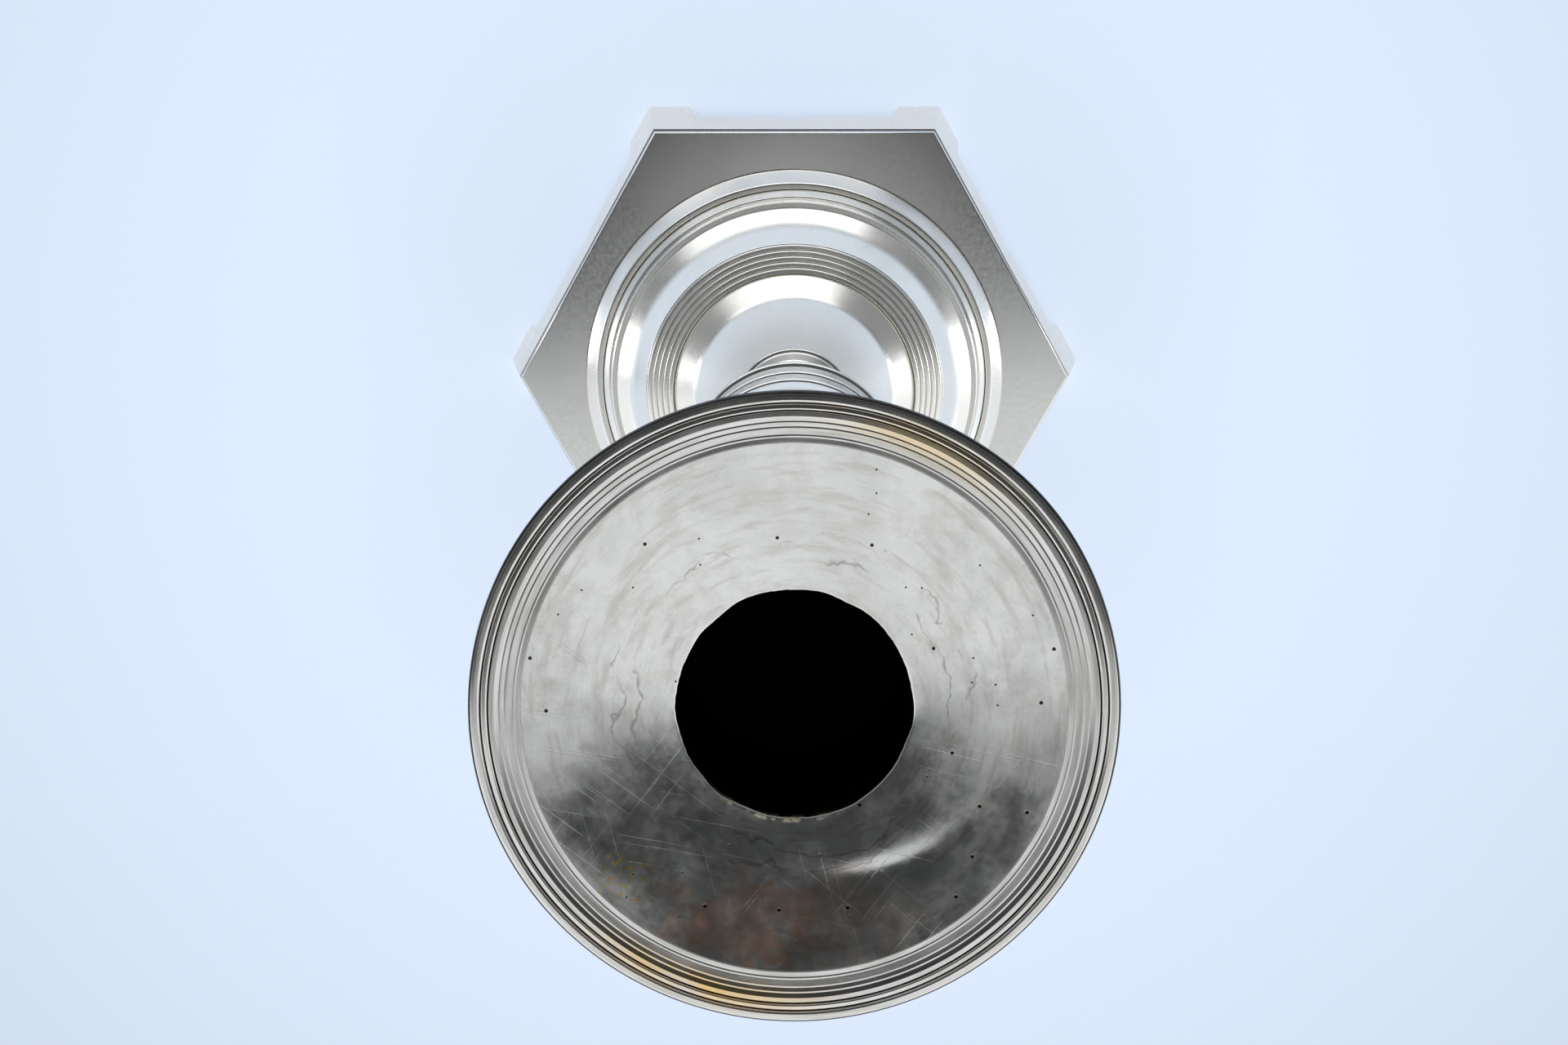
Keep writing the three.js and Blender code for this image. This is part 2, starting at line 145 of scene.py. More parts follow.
def finish_mesh(name, mesh, shape):
    """Turns a bmesh into a smooth-shaded object with sharp edges over an angle."""
    shape.to_mesh(mesh)
    shape.free()
    mesh.polygons.foreach_set("use_smooth", [True] * len(mesh.polygons))
    mesh.set_sharp_from_angle(angle=math.radians(SHARP_ANGLE))
    piece = bpy.data.objects.new(name, mesh)
    bpy.context.scene.collection.objects.link(piece)
    return piece


def place(piece, body, slot, material, *nodes):
    """Puts a piece on its body with its finish, in place of CAD nodes."""
    piece.data.materials.clear()
    piece.data.materials.append(material)
    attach(piece, body)
    if nodes:
        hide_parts(*nodes)
    return piece


# ---- Materials ----
class Nodes:
    """A short way to write a node material."""

    def __init__(self, name):
        self.material = bpy.data.materials.new(name)
        self.material.use_nodes = True
        self.tree = self.material.node_tree
        self.shader = self.tree.nodes["Principled BSDF"]
        self.coords = self.tree.nodes.new("ShaderNodeTexCoord").outputs["Object"]

    def add(self, kind, links=(), **settings):
        node = self.tree.nodes.new(kind)
        for key, value in settings.items():
            setattr(node, key, value)
        for socket, value in dict(links).items():
            self.feed(node.inputs[socket], value)
        return node

    def feed(self, socket, value):
        if isinstance(value, bpy.types.NodeSocket):
            self.tree.links.new(value, socket)
        else:
            socket.default_value = value

    def math(self, operation, a, b=0.0, c=0.0, clamp=False):
        node = self.add("ShaderNodeMath", {0: a, 1: b, 2: c}, operation=operation, use_clamp=clamp)
        return node.outputs[0]

    def stretch(self, scale=(1, 1, 1), rotate=(0, 0, 0), shift=(0, 0, 0), source=None):
        links = {"Vector": source or self.coords, "Scale": scale, "Rotation": rotate, "Location": shift}
        return self.add("ShaderNodeMapping", links).outputs[0]

    def noise(self, scale, detail=4, rough=0.5, source=None):
        links = {"Vector": source or self.coords, "Scale": scale, "Detail": detail, "Roughness": rough}
        return self.add("ShaderNodeTexNoise", links).outputs["Fac"]

    def spots(self, scale, radius, share):
        """1 in round spots of a radius in mm, on a share of the cells of a scattered grid."""
        links = {"Vector": self.coords, "Scale": scale}
        cells = self.add("ShaderNodeTexVoronoi", links, voronoi_dimensions="2D")
        reach = radius * MM * scale
        spot = self.step(cells.outputs["Distance"], reach * 0.6, reach, 1.0, 0.0)
        chosen = self.math("LESS_THAN", cells.outputs["Color"], share)
        return self.math("MULTIPLY", spot, chosen)

    def scratches(self, degrees, low=0.69, high=0.75):
        """Fine straight scratches in one direction: 1 on a scratch and 0 beside it."""
        turned_coords = self.stretch(rotate=(0, 0, math.radians(degrees)))
        stretched = self.stretch((55, 5200, 1), source=turned_coords)
        return self.step(self.noise(1, 1, 0.5, source=stretched), low, high)

    def polar(self):
        """The distance from the axis in mm, and the angle round it from +X in degrees."""
        split = self.add("ShaderNodeSeparateXYZ", {"Vector": self.coords})
        x, y = split.outputs[0], split.outputs[1]
        squares = self.math("ADD", self.math("MULTIPLY", x, x), self.math("MULTIPLY", y, y))
        radius = self.math("MULTIPLY", self.math("SQRT", squares), 1 / MM)
        return radius, self.math("DEGREES", self.math("ARCTAN2", y, x))

    def swirl(self, along, across):
        """Coordinates that run round the axis, with so many units to the radian and to the mm of radius."""
        split = self.add("ShaderNodeSeparateXYZ", {"Vector": self.coords})
        flat = self.add("ShaderNodeCombineXYZ", {"X": split.outputs[0], "Y": split.outputs[1]}).outputs[0]
        spoke = self.add("ShaderNodeVectorMath", {0: flat}, operation="NORMALIZE").outputs[0]
        spoke = self.add("ShaderNodeSeparateXYZ", {"Vector": spoke})
        x = self.math("MULTIPLY", spoke.outputs[0], along)
        y = self.math("MULTIPLY", spoke.outputs[1], along)
        z = self.math("MULTIPLY", self.polar()[0], across)
        return self.add("ShaderNodeCombineXYZ", {"X": x, "Y": y, "Z": z}).outputs[0]

    def near(self, value, centre, width):
        """1 where a value is at its centre, falling to 0 a width away."""
        gap = self.math("ABSOLUTE", self.math("SUBTRACT", value, centre))
        return self.step(gap, 0.0, width, 1.0, 0.0)

    def patch(self, x, y, half_width, half_height):
        """A soft-edged oval at a place in mm, broken up at its edge."""
        split = self.add("ShaderNodeSeparateXYZ", {"Vector": self.coords})
        across = self.math("DIVIDE", self.math("SUBTRACT", split.outputs[0], x * MM), half_width * MM)
        along = self.math("DIVIDE", self.math("SUBTRACT", split.outputs[1], y * MM), half_height * MM)
        along_squared = self.math("MULTIPLY", along, along)
        squares = self.math("ADD", self.math("MULTIPLY", across, across), along_squared)
        edge = self.math("ADD", squares, self.step(self.noise(350, 5, 0.6), 0.3, 0.7, -0.6, 0.6))
        return self.step(edge, 0.2, 1.2, 1.0, 0.0)

    def step(self, value, low, high, out_low=0.0, out_high=1.0):
        links = {"Value": value, "From Min": low, "From Max": high, "To Min": out_low, "To Max": out_high}
        node = self.add("ShaderNodeMapRange", links, clamp=True, interpolation_type="SMOOTHSTEP")
        return node.outputs["Result"]

    def mix(self, factor, a, b):
        node = self.add("ShaderNodeMix", data_type="RGBA", clamp_factor=True)
        for socket, value in ((0, factor), (6, a), (7, b)):
            self.feed(node.inputs[socket], value)
        return node.outputs[2]

    def bump(self, height, strength, distance):
        links = {"Height": height, "Strength": strength, "Distance": distance}
        return self.add("ShaderNodeBump", links).outputs[0]


def rgb(r, g, b):
    return (r, g, b, 1.0)


def polished_silver(name="polished_silver", colour=rgb(0.91, 0.88, 0.82), rough=0.23):
    n = Nodes(name)
    finish_polish(n, colour, rough)
    return n.material


def finish_polish(n, colour, rough):
    """Old polish: a haze of fine scratches, with warm tarnish in faint clouds."""
    haze = n.noise(140, 5, 0.6)
    fine = n.noise(2600, 2, 0.5, source=n.stretch((1, 1, 6)))
    roughness = n.math("ADD", n.step(haze, 0.35, 0.75, rough, rough + 0.08), n.math("MULTIPLY", fine, 0.03))
    tarnish = n.step(n.noise(60, 6, 0.65), 0.52, 0.78, 0.0, 0.3)
    n.feed(n.shader.inputs["Base Color"], n.mix(tarnish, colour, rgb(0.70, 0.63, 0.52)))
    n.feed(n.shader.inputs["Roughness"], roughness)
    n.shader.inputs["Metallic"].default_value = 1.0
    n.feed(n.shader.inputs["Normal"], n.bump(n.noise(300, 3, 0.5), 0.012, 0.00003))


def bell_silver():
    """The bell: polished on its shoulder, browner and darker towards the neck as painted shade."""
    n = Nodes("bell_silver")
    # painted shade: the colour turns darker and browner from the shoulder in to the neck, broken up by
    # noise
    neck_shade = n.step(n.polar()[0], 9.0, 15.0, 0.75, 0.0)
    neck_shade = n.math("MULTIPLY", neck_shade, n.step(n.noise(90, 4, 0.6), 0.2, 0.6, 0.6, 1.0))
    finish_polish(n, n.mix(neck_shade, rgb(0.91, 0.88, 0.82), rgb(0.66, 0.60, 0.51)), 0.23)
    return n.material


def gilded_rim():
    """The rim's silver, with golden tarnish on two arcs of it."""
    n = Nodes("rim_silver")
    radius, angle = n.polar()
    fainter_arc = n.math("MULTIPLY", n.near(angle, 66, 30), 0.55)
    arcs = n.math("ADD", n.near(angle, -109, 34), fainter_arc, clamp=True)
    gold = n.math("MULTIPLY", arcs, n.step(n.noise(160, 4, 0.6), 0.25, 0.5))
    gold = n.math("MULTIPLY", gold, n.near(radius, 29.3, 2.3))
    grime = n.step(n.noise(1, 4, 0.6, source=n.swirl(4, 2.5)), 0.4, 0.7, 0.0, 0.6)
    silver = n.mix(grime, rgb(0.86, 0.84, 0.80), rgb(0.52, 0.49, 0.44))
    finish_polish(n, n.mix(gold, silver, rgb(1.0, 0.70, 0.30)), 0.15)
    return n.material


def oxide_and_painted_shade():
    """The black that builds up where a cloth never reaches, in the rim's groove; on the rim's outer side
    the same black is painted shade.
    """
    n = Nodes("oxide_and_painted_shade")
    colour = n.mix(n.noise(300, 4), rgb(0.012, 0.011, 0.011), rgb(0.06, 0.055, 0.05))
    n.feed(n.shader.inputs["Base Color"], colour)
    n.shader.inputs["Roughness"].default_value = 0.4
    n.shader.inputs["Metallic"].default_value = 1.0
    return n.material


def satin_silver():
    """The plate's satin, with faint clouds in it."""
    n = Nodes("satin_silver")
    haze = n.step(n.noise(70, 6, 0.6), 0.35, 0.7)
    n.feed(n.shader.inputs["Base Color"], n.mix(haze, rgb(0.88, 0.865, 0.84), rgb(0.83, 0.81, 0.78)))
    n.feed(n.shader.inputs["Roughness"], n.step(n.noise(1500, 4, 0.6), 0.3, 0.7, 0.17, 0.22))
    n.shader.inputs["Metallic"].default_value = 1.0
    n.feed(n.shader.inputs["Normal"], n.bump(n.noise(900, 2, 0.5), 0.02, 0.00002))
    return n.material


def worn_silver():
    """The pan's dish: mottled, with streaks and stain lines round the hole, pits, scratches, darker patches
    of painted shade and a tint from heat near one edge."""
    n = Nodes("worn_silver")
    radius, angle = n.polar()
    mottle = n.step(n.noise(240, 8, 0.75), 0.42, 0.7, 0.0, 0.75)
    colour = n.mix(mottle, rgb(0.86, 0.85, 0.815), rgb(0.69, 0.66, 0.61))
    clouds = n.step(n.noise(45, 4, 0.6), 0.45, 0.65, 0.0, 0.5)
    colour = n.mix(clouds, colour, rgb(0.70, 0.69, 0.66))
    streaks = n.step(n.noise(1, 6, 0.65, source=n.swirl(3.2, 0.9)), 0.46, 0.68, 0.0, 0.6)
    colour = n.mix(streaks, colour, rgb(0.58, 0.545, 0.49))
    wander = n.step(n.noise(110, 4, 0.55), 0.2, 0.8, -2.4, 2.4)
    patchy = n.step(n.noise(170, 4, 0.6), 0.46, 0.58)
    lines = n.near(n.math("ADD", radius, wander), 14.6, 0.22)
    outer_line = n.near(n.math("ADD", radius, wander), 16.6, 0.2)
    lines = n.math("ADD", lines, outer_line, clamp=True)
    stain_lines = n.math("MULTIPLY", n.math("MULTIPLY", lines, patchy), 0.55)
    colour = n.mix(stain_lines, colour, rgb(0.25, 0.23, 0.21))
    # painted shade: darker patches low on the left and at the bottom edge of the dish
    painted_shade_patches = n.math("ADD", n.patch(-15.5, -10.0, 9.0, 7.0), n.patch(1.5, -24.6, 4.5, 1.8), clamp=True)
    colour = n.mix(n.math("MULTIPLY", painted_shade_patches, 0.55), colour, rgb(0.42, 0.41, 0.40))
    halo = n.math("MULTIPLY", n.patch(0.5, -21.5, 15.0, 5.5), 0.35)
    colour = n.mix(halo, colour, rgb(0.80, 0.62, 0.50))
    uneven = n.step(n.noise(230, 6, 0.7), 0.3, 0.7, 0.15, 0.9)
    heat = n.math("MULTIPLY", n.patch(-5.0, -21.6, 8.0, 5.2), uneven)
    colour = n.mix(heat, colour, rgb(0.98, 0.60, 0.42))
    golden = n.math("MULTIPLY", n.patch(-17.0, -17.0, 3.5, 2.5), n.step(n.noise(1800, 3, 0.6), 0.54, 0.6))
    colour = n.mix(golden, colour, rgb(0.95, 0.72, 0.30))
    torn = n.math("MULTIPLY", n.near(radius, BORE_RADIUS + 0.1, 0.5), n.near(angle, -100, 55))
    torn = n.math("MULTIPLY", torn, n.step(n.noise(900, 3, 0.6), 0.44, 0.56))
    colour = n.mix(torn, colour, rgb(1.0, 0.86, 0.60))
    pits = n.math("ADD", n.spots(190, 0.22, 0.33), n.spots(420, 0.12, 0.22), clamp=True)
    colour = n.mix(pits, colour, rgb(0.03, 0.025, 0.02))
    marks = n.math("ADD", n.scratches(38), n.scratches(-52), clamp=True)
    marks = n.math("MAXIMUM", marks, n.math("MAXIMUM", n.scratches(75), n.scratches(12)))
    marks = n.math("MULTIPLY", marks, n.step(n.noise(90, 3, 0.6), 0.42, 0.62, 0.1, 1.0))
    polish = n.step(n.noise(260, 6, 0.7), 0.3, 0.75, 0.13, 0.25)
    n.feed(n.shader.inputs["Base Color"], colour)
    rough_marks = n.math("ADD", n.math("MULTIPLY", marks, 0.09), n.math("MULTIPLY", torn, 0.4))
    n.feed(n.shader.inputs["Roughness"], n.math("ADD", polish, rough_marks))
    n.shader.inputs["Metallic"].default_value = 1.0
    depth = n.math("SUBTRACT", n.math("MULTIPLY", marks, -0.2), pits)
    n.feed(n.shader.inputs["Normal"], n.bump(depth, 0.2, 0.00004))
    return n.material


def tarnished_silver():
    """The pan's underside and the sleeve's outside, which nobody polishes."""
    n = Nodes("tarnished_silver")
    film = n.step(n.noise(110, 6, 0.65), 0.3, 0.7)
    n.feed(n.shader.inputs["Base Color"], n.mix(film, rgb(0.42, 0.39, 0.35), rgb(0.24, 0.21, 0.18)))
    n.feed(n.shader.inputs["Roughness"], n.step(film, 0, 1, 0.25, 0.4))
    n.shader.inputs["Metallic"].default_value = 1.0
    return n.material


def dark_bore():
    """The inside of the candle bore and the socket: soot, made near black and without shine as painted
    shade deep in the bore.
    """
    n = Nodes("dark_bore")
    soot_and_shade = n.noise(500, 6, 0.6)
    # painted shade: a black darker than soot, standing in for the shade inside the bore
    colour = n.mix(soot_and_shade, rgb(0.0005, 0.0005, 0.0005), rgb(0.002, 0.0018, 0.0016))
    n.feed(n.shader.inputs["Base Color"], colour)
    n.shader.inputs["Roughness"].default_value = 0.9
    n.shader.inputs["Specular IOR Level"].default_value = 0.0
    return n.material


def dull_iron():
    """The fixings inside, dull with spots of rust."""
    n = Nodes("dull_iron")
    rust = n.step(n.noise(400, 6, 0.65), 0.5, 0.7)
    n.feed(n.shader.inputs["Base Color"], n.mix(rust, rgb(0.30, 0.29, 0.28), rgb(0.18, 0.10, 0.06)))
    n.feed(n.shader.inputs["Roughness"], n.step(rust, 0, 1, 0.35, 0.7))
    n.shader.inputs["Metallic"].default_value = 0.9
    return n.material


def pitch():
    """The matt black loading inside the boss."""
    n = Nodes("pitch")
    colour = n.mix(n.noise(200, 5), rgb(0.02, 0.018, 0.015), rgb(0.05, 0.045, 0.04))
    n.feed(n.shader.inputs["Base Color"], colour)
    n.shader.inputs["Roughness"].default_value = 0.6
    return n.material


POLISHED = polished_silver()
SATIN = satin_silver()
WORN = worn_silver()
RIM = gilded_rim()
TARNISHED = tarnished_silver()
OXIDE_AND_SHADE = oxide_and_painted_shade()
WALL = polished_silver("wall_silver", rgb(0.88, 0.82, 0.735))
STEM = polished_silver("stem_silver", rgb(0.80, 0.77, 0.71), rough=0.13)
BELL = bell_silver()
BORE = dark_bore()
IRON = dull_iron()
PITCH = pitch()


# ---- Foot ----
def plate_corners():
    """The plate's corners, counter-clockwise from +X, read from its CAD node."""
    low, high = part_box("base_plate")
    top = [v.co.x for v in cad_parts["base_plate"].data.vertices if abs(v.co.y - high.y) < 1e-6]
    half_flat = max(top) / MM
    width, depth = high.x / MM, high.y / MM
    return [Vector(c) for c in ((width, 0), (half_flat, depth), (-half_flat, depth),
                                (-width, 0), (-half_flat, -depth), (half_flat, -depth))]


CORNERS = plate_corners()
WALL_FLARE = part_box("corner_foot_1")[1].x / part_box("base_plate")[1].x - 1
WALL_THICKNESS = 1.6
FOOT_WIDTH = 6.6
WALL_TOP = PLATE_BOTTOM - 0.02
TOE_TAPER = 0.7
TOE_DROP = 1.5
PLATE_HOLE = 24.5
PLATE_HOLE_STEPS = 96
APRON_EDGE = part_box("apron_2")[0].z / MM
NOTCH_RISE = 2.6
NOTCH_HALF_WIDTH = 4.4


def wall_point(side, along, height, inner):
    start, end = CORNERS[side % 6], CORNERS[(side + 1) % 6]
    flare = 1 + WALL_FLARE * (1 - height / PLATE_TOP)
    scale = flare - (WALL_THICKNESS / CORNERS[1].y if inner else 0)
    point = start.lerp(end, along / (end - start).length) * scale
    return Vector((point.x, point.y, height)) * MM


def wall_piece(name, outline, faces, locate, seams, width):
    """A piece of wall: an outline on the outer face, its copy on the inner one, and rounded edges.
    Edges stay sharp at the plate, and at a seam with the next piece, given by its place along the wall."""
    shape = bmesh.new()
    outer = [shape.verts.new(locate(x, y, False)) for x, y in outline]
    inner = [shape.verts.new(locate(x, y, True)) for x, y in outline]
    for loop in faces:
        shape.faces.new([outer[i] for i in loop])
        shape.faces.new([inner[i] for i in reversed(loop)])
    for i, vertex in enumerate(outer):
        n = (i + 1) % len(outer)
        shape.faces.new((vertex, inner[i], inner[n], outer[n]))
    at_seam = {ring[i] for ring in (outer, inner) for i, (x, y) in enumerate(outline) if x in seams}
    at_plate = {ring[i] for ring in (outer, inner) for i, (x, y) in enumerate(outline) if y == WALL_TOP}
    rounding = shape.edges.layers.float.new("bevel_weight_edge")
    for edge in shape.edges:
        turns = edge.calc_face_angle(0) > math.radians(25)
        meets = at_seam.issuperset(edge.verts) or at_plate.issuperset(edge.verts)
        edge[rounding] = 1.0 if turns and not meets else 0.0
    bmesh.ops.recalc_face_normals(shape, faces=shape.faces)
    piece = finish_mesh(name, bpy.data.meshes.new(name), shape)
    round_edges(piece, width)
    return piece


def round_edges(piece, width):
    """Rounds the edges that carry a bevel weight, to a width in mm."""
    edge = piece.modifiers.new("edge", "BEVEL")
    edge.width = width * MM
    edge.segments = 4
    edge.limit_method = "WEIGHT"
    edge.harden_normals = True


def notch(middle):
    """Points of the apron's lower edge, with the soft notch in its middle."""
    points = []
    for k in range(-12, 13):
        t = k / 12
        rise = NOTCH_RISE * (1 - abs(t)) ** 2
        points.append((middle + NOTCH_HALF_WIDTH * t, APRON_EDGE + rise))
    return points


def side_length(side):
    return (CORNERS[(side + 1) % 6] - CORNERS[side % 6]).length


def apron(side):
    first, last = FOOT_WIDTH + 0.01, side_length(side) - FOOT_WIDTH - 0.01
    outline = [(first, WALL_TOP), (first, APRON_EDGE), *notch((first + last) / 2)]
    outline += [(last, APRON_EDGE), (last, WALL_TOP)]

    def locate(x, y, inner):
        return wall_point(side, x, y, inner)

    face = range(len(outline))
    piece = wall_piece(f"apron_strip_{side + 1}", outline, [face], locate, (first, last), 0.22)
    place(piece, "stick", "polished_silver", WALL, f"apron_{side + 1}")


def corner_foot(corner):
    before = (corner + 5) % 6
    toe = FOOT_WIDTH - TOE_TAPER
    shoulder = APRON_EDGE - TOE_DROP
    outline = [(-toe, 0), (0, 0), (toe, 0), (FOOT_WIDTH, shoulder), (FOOT_WIDTH, WALL_TOP)]
    outline += [(0, WALL_TOP), (-FOOT_WIDTH, WALL_TOP), (-FOOT_WIDTH, shoulder)]

    def locate(x, y, inner):
        if x < 0:
            return wall_point(before, side_length(before) + x, y, inner)
        return wall_point(corner, x, y, inner)

    halves = ((1, 2, 3, 4, 5), (0, 1, 5, 6, 7))
    seams = (-FOOT_WIDTH, FOOT_WIDTH)
    piece = wall_piece(f"bracket_foot_{corner + 1}", outline, halves, locate, seams, 0.3)
    place(piece, "stick", "polished_silver", WALL, f"corner_foot_{corner + 1}")


def foot_plate():
    """The hexagonal plate, with a round hole under the boss and its outer edges rounded."""
    shape = bmesh.new()
    steps = PLATE_HOLE_STEPS
    for height, flip in ((PLATE_TOP, False), (PLATE_BOTTOM, True)):
        outer = [shape.verts.new(Vector((c.x, c.y, height)) * MM) for c in CORNERS]
        inner = []
        for k in range(steps):
            a = math.tau * k / steps
            point = Vector((PLATE_HOLE * math.cos(a), PLATE_HOLE * math.sin(a), height))
            inner.append(shape.verts.new(point * MM))
        for i in range(6):
            part = [inner[(i * steps // 6 + k) % steps] for k in range(steps // 6 + 1)]
            face = [outer[i], outer[(i + 1) % 6], *reversed(part)]
            shape.faces.new(list(reversed(face)) if flip else face)
    shape.verts.ensure_lookup_table()
    half = 6 + steps
    for i in range(6):
        n = (i + 1) % 6
        shape.faces.new([shape.verts[j] for j in (i, half + i, half + n, n)])
    for k in range(steps):
        n = (k + 1) % steps
        shape.faces.new([shape.verts[j] for j in (6 + k, 6 + n, half + 6 + n, half + 6 + k)])
    bmesh.ops.recalc_face_normals(shape, faces=shape.faces)
    shape.verts.ensure_lookup_table()
    rim_corners = set(shape.verts[:6])
    rounding = shape.edges.layers.float.new("bevel_weight_edge")
    for edge in shape.edges:
        edge[rounding] = 1.0 if rim_corners.issuperset(edge.verts) else 0.0
    piece = finish_mesh("foot_plate", bpy.data.meshes.new("foot_plate"), shape)
    round_edges(piece, 0.4)
    place(piece, "stick", "satin_silver", SATIN, "base_plate")


foot_plate()
for side in range(6):
    apron(side)
    corner_foot(side)


# ---- Turned pieces: heights in mm above the plate ----
ROD_HOLE = 2.8
TORUS_INNER = 29.7
STEP_INNER = 25
STEP_TOP = 7.0
DRUM_INNER = 21
REED_BASE = 12.6
REED_INNER = 18.3
REED_OUTER = 22.5
REED_COUNT = 5
REED_RISE = 0.42
NECK_RADIUS = 8.5
NECK_TOP = 27.0
COLLAR_TOP = 30.3
KNOP_BASE = 70.4
KNOP_TOP = 96
SMALL_KNOP_BASE = 149
SMALL_KNOP_TOP = 158.2


def above_plate(corners):
    return [(c[0], c[1] + PLATE_TOP, *c[2:]) for c in corners]


def stick_piece(name, corners, *nodes, material=POLISHED):
    piece = turned(name, rounded(above_plate(corners)))
    return place(piece, "stick", "polished_silver", material, *nodes)


def on_rod(bottom, top, *corners):
    """The outline of a piece on the tie rod, from its bottom face to its top face."""
    return [(ROD_HOLE, bottom, 0), *corners, (ROD_HOLE, top, 0)]


def reeds():
    """Reeds that step inward and upward, each with a fine groove behind it."""
    pitch = (REED_OUTER - REED_INNER) / REED_COUNT
    first = REED_BASE + 0.4
    corners = [(REED_INNER, REED_BASE, 0), (REED_OUTER - 0.4, REED_BASE, 0), (REED_OUTER, first, 0.1)]
    for i in range(REED_COUNT):
        edge = REED_OUTER - i * pitch
        height = first + REED_RISE * i
        corners.append((edge - 0.06, height + 0.42, 0.3))
        corners.append((edge - pitch + 0.14, height + 0.72, 0.25))
        corners.append((edge - pitch + 0.03, height + 0.45, 0.04))
    return corners


def base_rings():
    stick_piece("torus_ring", [
        (TORUS_INNER, 0.0), (32.6, 0.0, 0.1), (32.4, 0.9, 0.6), (30.6, 3.1, 0.5), (TORUS_INNER, 3.1, 0.2)],
        "base_torus")
    stick_piece("step_ring", [
        (STEP_INNER, 0.0), (29.6, 0.0), (29.6, 3.0, 0.1), (29.35, 3.35, 0.05), (29.5, 3.6, 0.2),
        (28.75, 4.4, 0.2), (28.5, 4.5, 0.05), (28.6, 4.8, 0.15), (28.3, 5.6, 0.2), (28.1, 5.8, 0.05),
        (28.1, STEP_TOP, 0.12), (STEP_INNER, STEP_TOP)],
        "base_step")
    stick_piece("drum_band", [
        (DRUM_INNER, 7.02), (27.3, 7.02, 0.05), (27.3, 7.5, 0.3), (24.9, 9.4, 5), (22.6, 13.2, 0.2),
        (DRUM_INNER, 13.2)],
        "base_drum")
    stick_piece("reeded_ring", reeds(), "base_reeding")
    bell = on_rod(
        REED_BASE, NECK_TOP,
        (REED_INNER, REED_BASE, 0.1), (REED_INNER, 14.9, 0.5), (15.0, 17.2, 3.0), (11.8, 21.9, 12),
        (NECK_RADIUS, NECK_TOP, 0.1))
    stick_piece("bell", bell, "base_bell", material=BELL)


def stem():
    collar = on_rod(
        NECK_TOP, COLLAR_TOP,
        (NECK_RADIUS, NECK_TOP, 0.1), (8.9, 27.3, 0.3), (8.8, 27.8, 0.3), (8.3, 28.0, 0.1),
        (8.3, 28.2, 0.05), (8.4, 28.6, 0.25), (7.4, 29.2, 0.1), (6.4, COLLAR_TOP, 0.2))
    stick_piece("neck_rings", collar, "neck_collar")
    lower = on_rod(
        COLLAR_TOP, KNOP_BASE,
        (5.9, COLLAR_TOP, 0.1), (5.0, 34.5, 4), (4.7, 43, 40), (6.4, 62, 30), (6.8, KNOP_BASE, 0.1))
    stick_piece("lower_stem", lower, "lower_shaft", material=STEM)
    knop = on_rod(
        KNOP_BASE, KNOP_TOP,
        (7.4, KNOP_BASE, 0.1), (10, 71.2, 1.5), (14.2, 72.2, 0.6), (14.2, 73.5, 0.3), (13.3, 73.8, 0.1),
        (13.3, 74.6, 0.1), (13.9, 75.0, 0.3), (13.9, 79.1, 0.3), (13.2, 79.3, 0.1), (13.2, 80.1, 0.1),
        (13.8, 80.4, 0.3), (13.8, 84.5, 0.3), (13.1, 84.7, 0.1), (13.1, 85.5, 0.1), (13.7, 85.8, 0.3),
        (13.4, 88.2, 3), (9.6, 92.4, 4), (7.2, KNOP_TOP, 0.2))
    stick_piece("ringed_knop", knop, "mid_knop")
    upper = on_rod(
        KNOP_TOP, SMALL_KNOP_BASE,
        (6.2, KNOP_TOP, 0.1), (5.2, 99.6, 2), (6.0, 106, 9), (10.2, 121, 12), (9.8, 130, 12), (5.6, 141, 8),
        (5.0, 145.5, 2), (5.8, SMALL_KNOP_BASE, 0.1))
    stick_piece("upper_stem", upper, "upper_shaft", material=STEM)
    small_knop = on_rod(
        SMALL_KNOP_BASE, SMALL_KNOP_TOP,
        (6.4, SMALL_KNOP_BASE, 0.1), (7.0, 149.9, 0.1), (9.6, 150.6, 2.0), (9.6, 155.0, 2.0),
        (6.8, 155.6, 0.2), (6.2, 156.6, 0.2), (6.2, SMALL_KNOP_TOP, 0.1))
    stick_piece("small_knop", small_knop, "upper_knop", material=STEM)


base_rings()
stem()

SOCKET_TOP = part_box("socket_cup")[1].z / MM
SOCKET_RADIUS = SLEEVE_RADIUS + 1.6
SOCKET_BORE = SLEEVE_RADIUS + 0.45
SOCKET_FLOOR = SLEEVE_BOTTOM - 4


def blacken_inside(piece, radius, floor):
    """Gives the black of soot and painted shade to a bore's faces: those inside its radius and above its
    floor.
    """
    piece.data.materials.append(BORE)
    for face in piece.data.polygons:
        centre = face.center
        inside = math.hypot(centre.x, centre.y) < radius * MM
        if inside and centre.z > floor * MM:
            face.material_index = 1


def socket():
    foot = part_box("socket_cup")[0].z / MM - 0.3
    corners = [
        (0, SOCKET_FLOOR - 2, 0), (ROD_HOLE, SOCKET_FLOOR - 2.4, 0), (ROD_HOLE, foot, 0), (7.0, foot, 0.2),
        (8.2, foot + 1.6, 0.8), (12.6, foot + 6, 4), (14.3, foot + 13, 6), (SOCKET_RADIUS, foot + 20, 6),
        (SOCKET_RADIUS, SOCKET_TOP, 0.3),
        (SOCKET_BORE, SOCKET_TOP, 0.2), (SOCKET_BORE, SOCKET_FLOOR, 0.5), (0, SOCKET_FLOOR, 0)]
    piece = turned("socket", rounded(corners, closed=False), closed=False)
    place(piece, "stick", "polished_silver", STEM, "socket_cup")
    blacken_inside(piece, SOCKET_BORE + 0.05, SOCKET_FLOOR - 0.5)


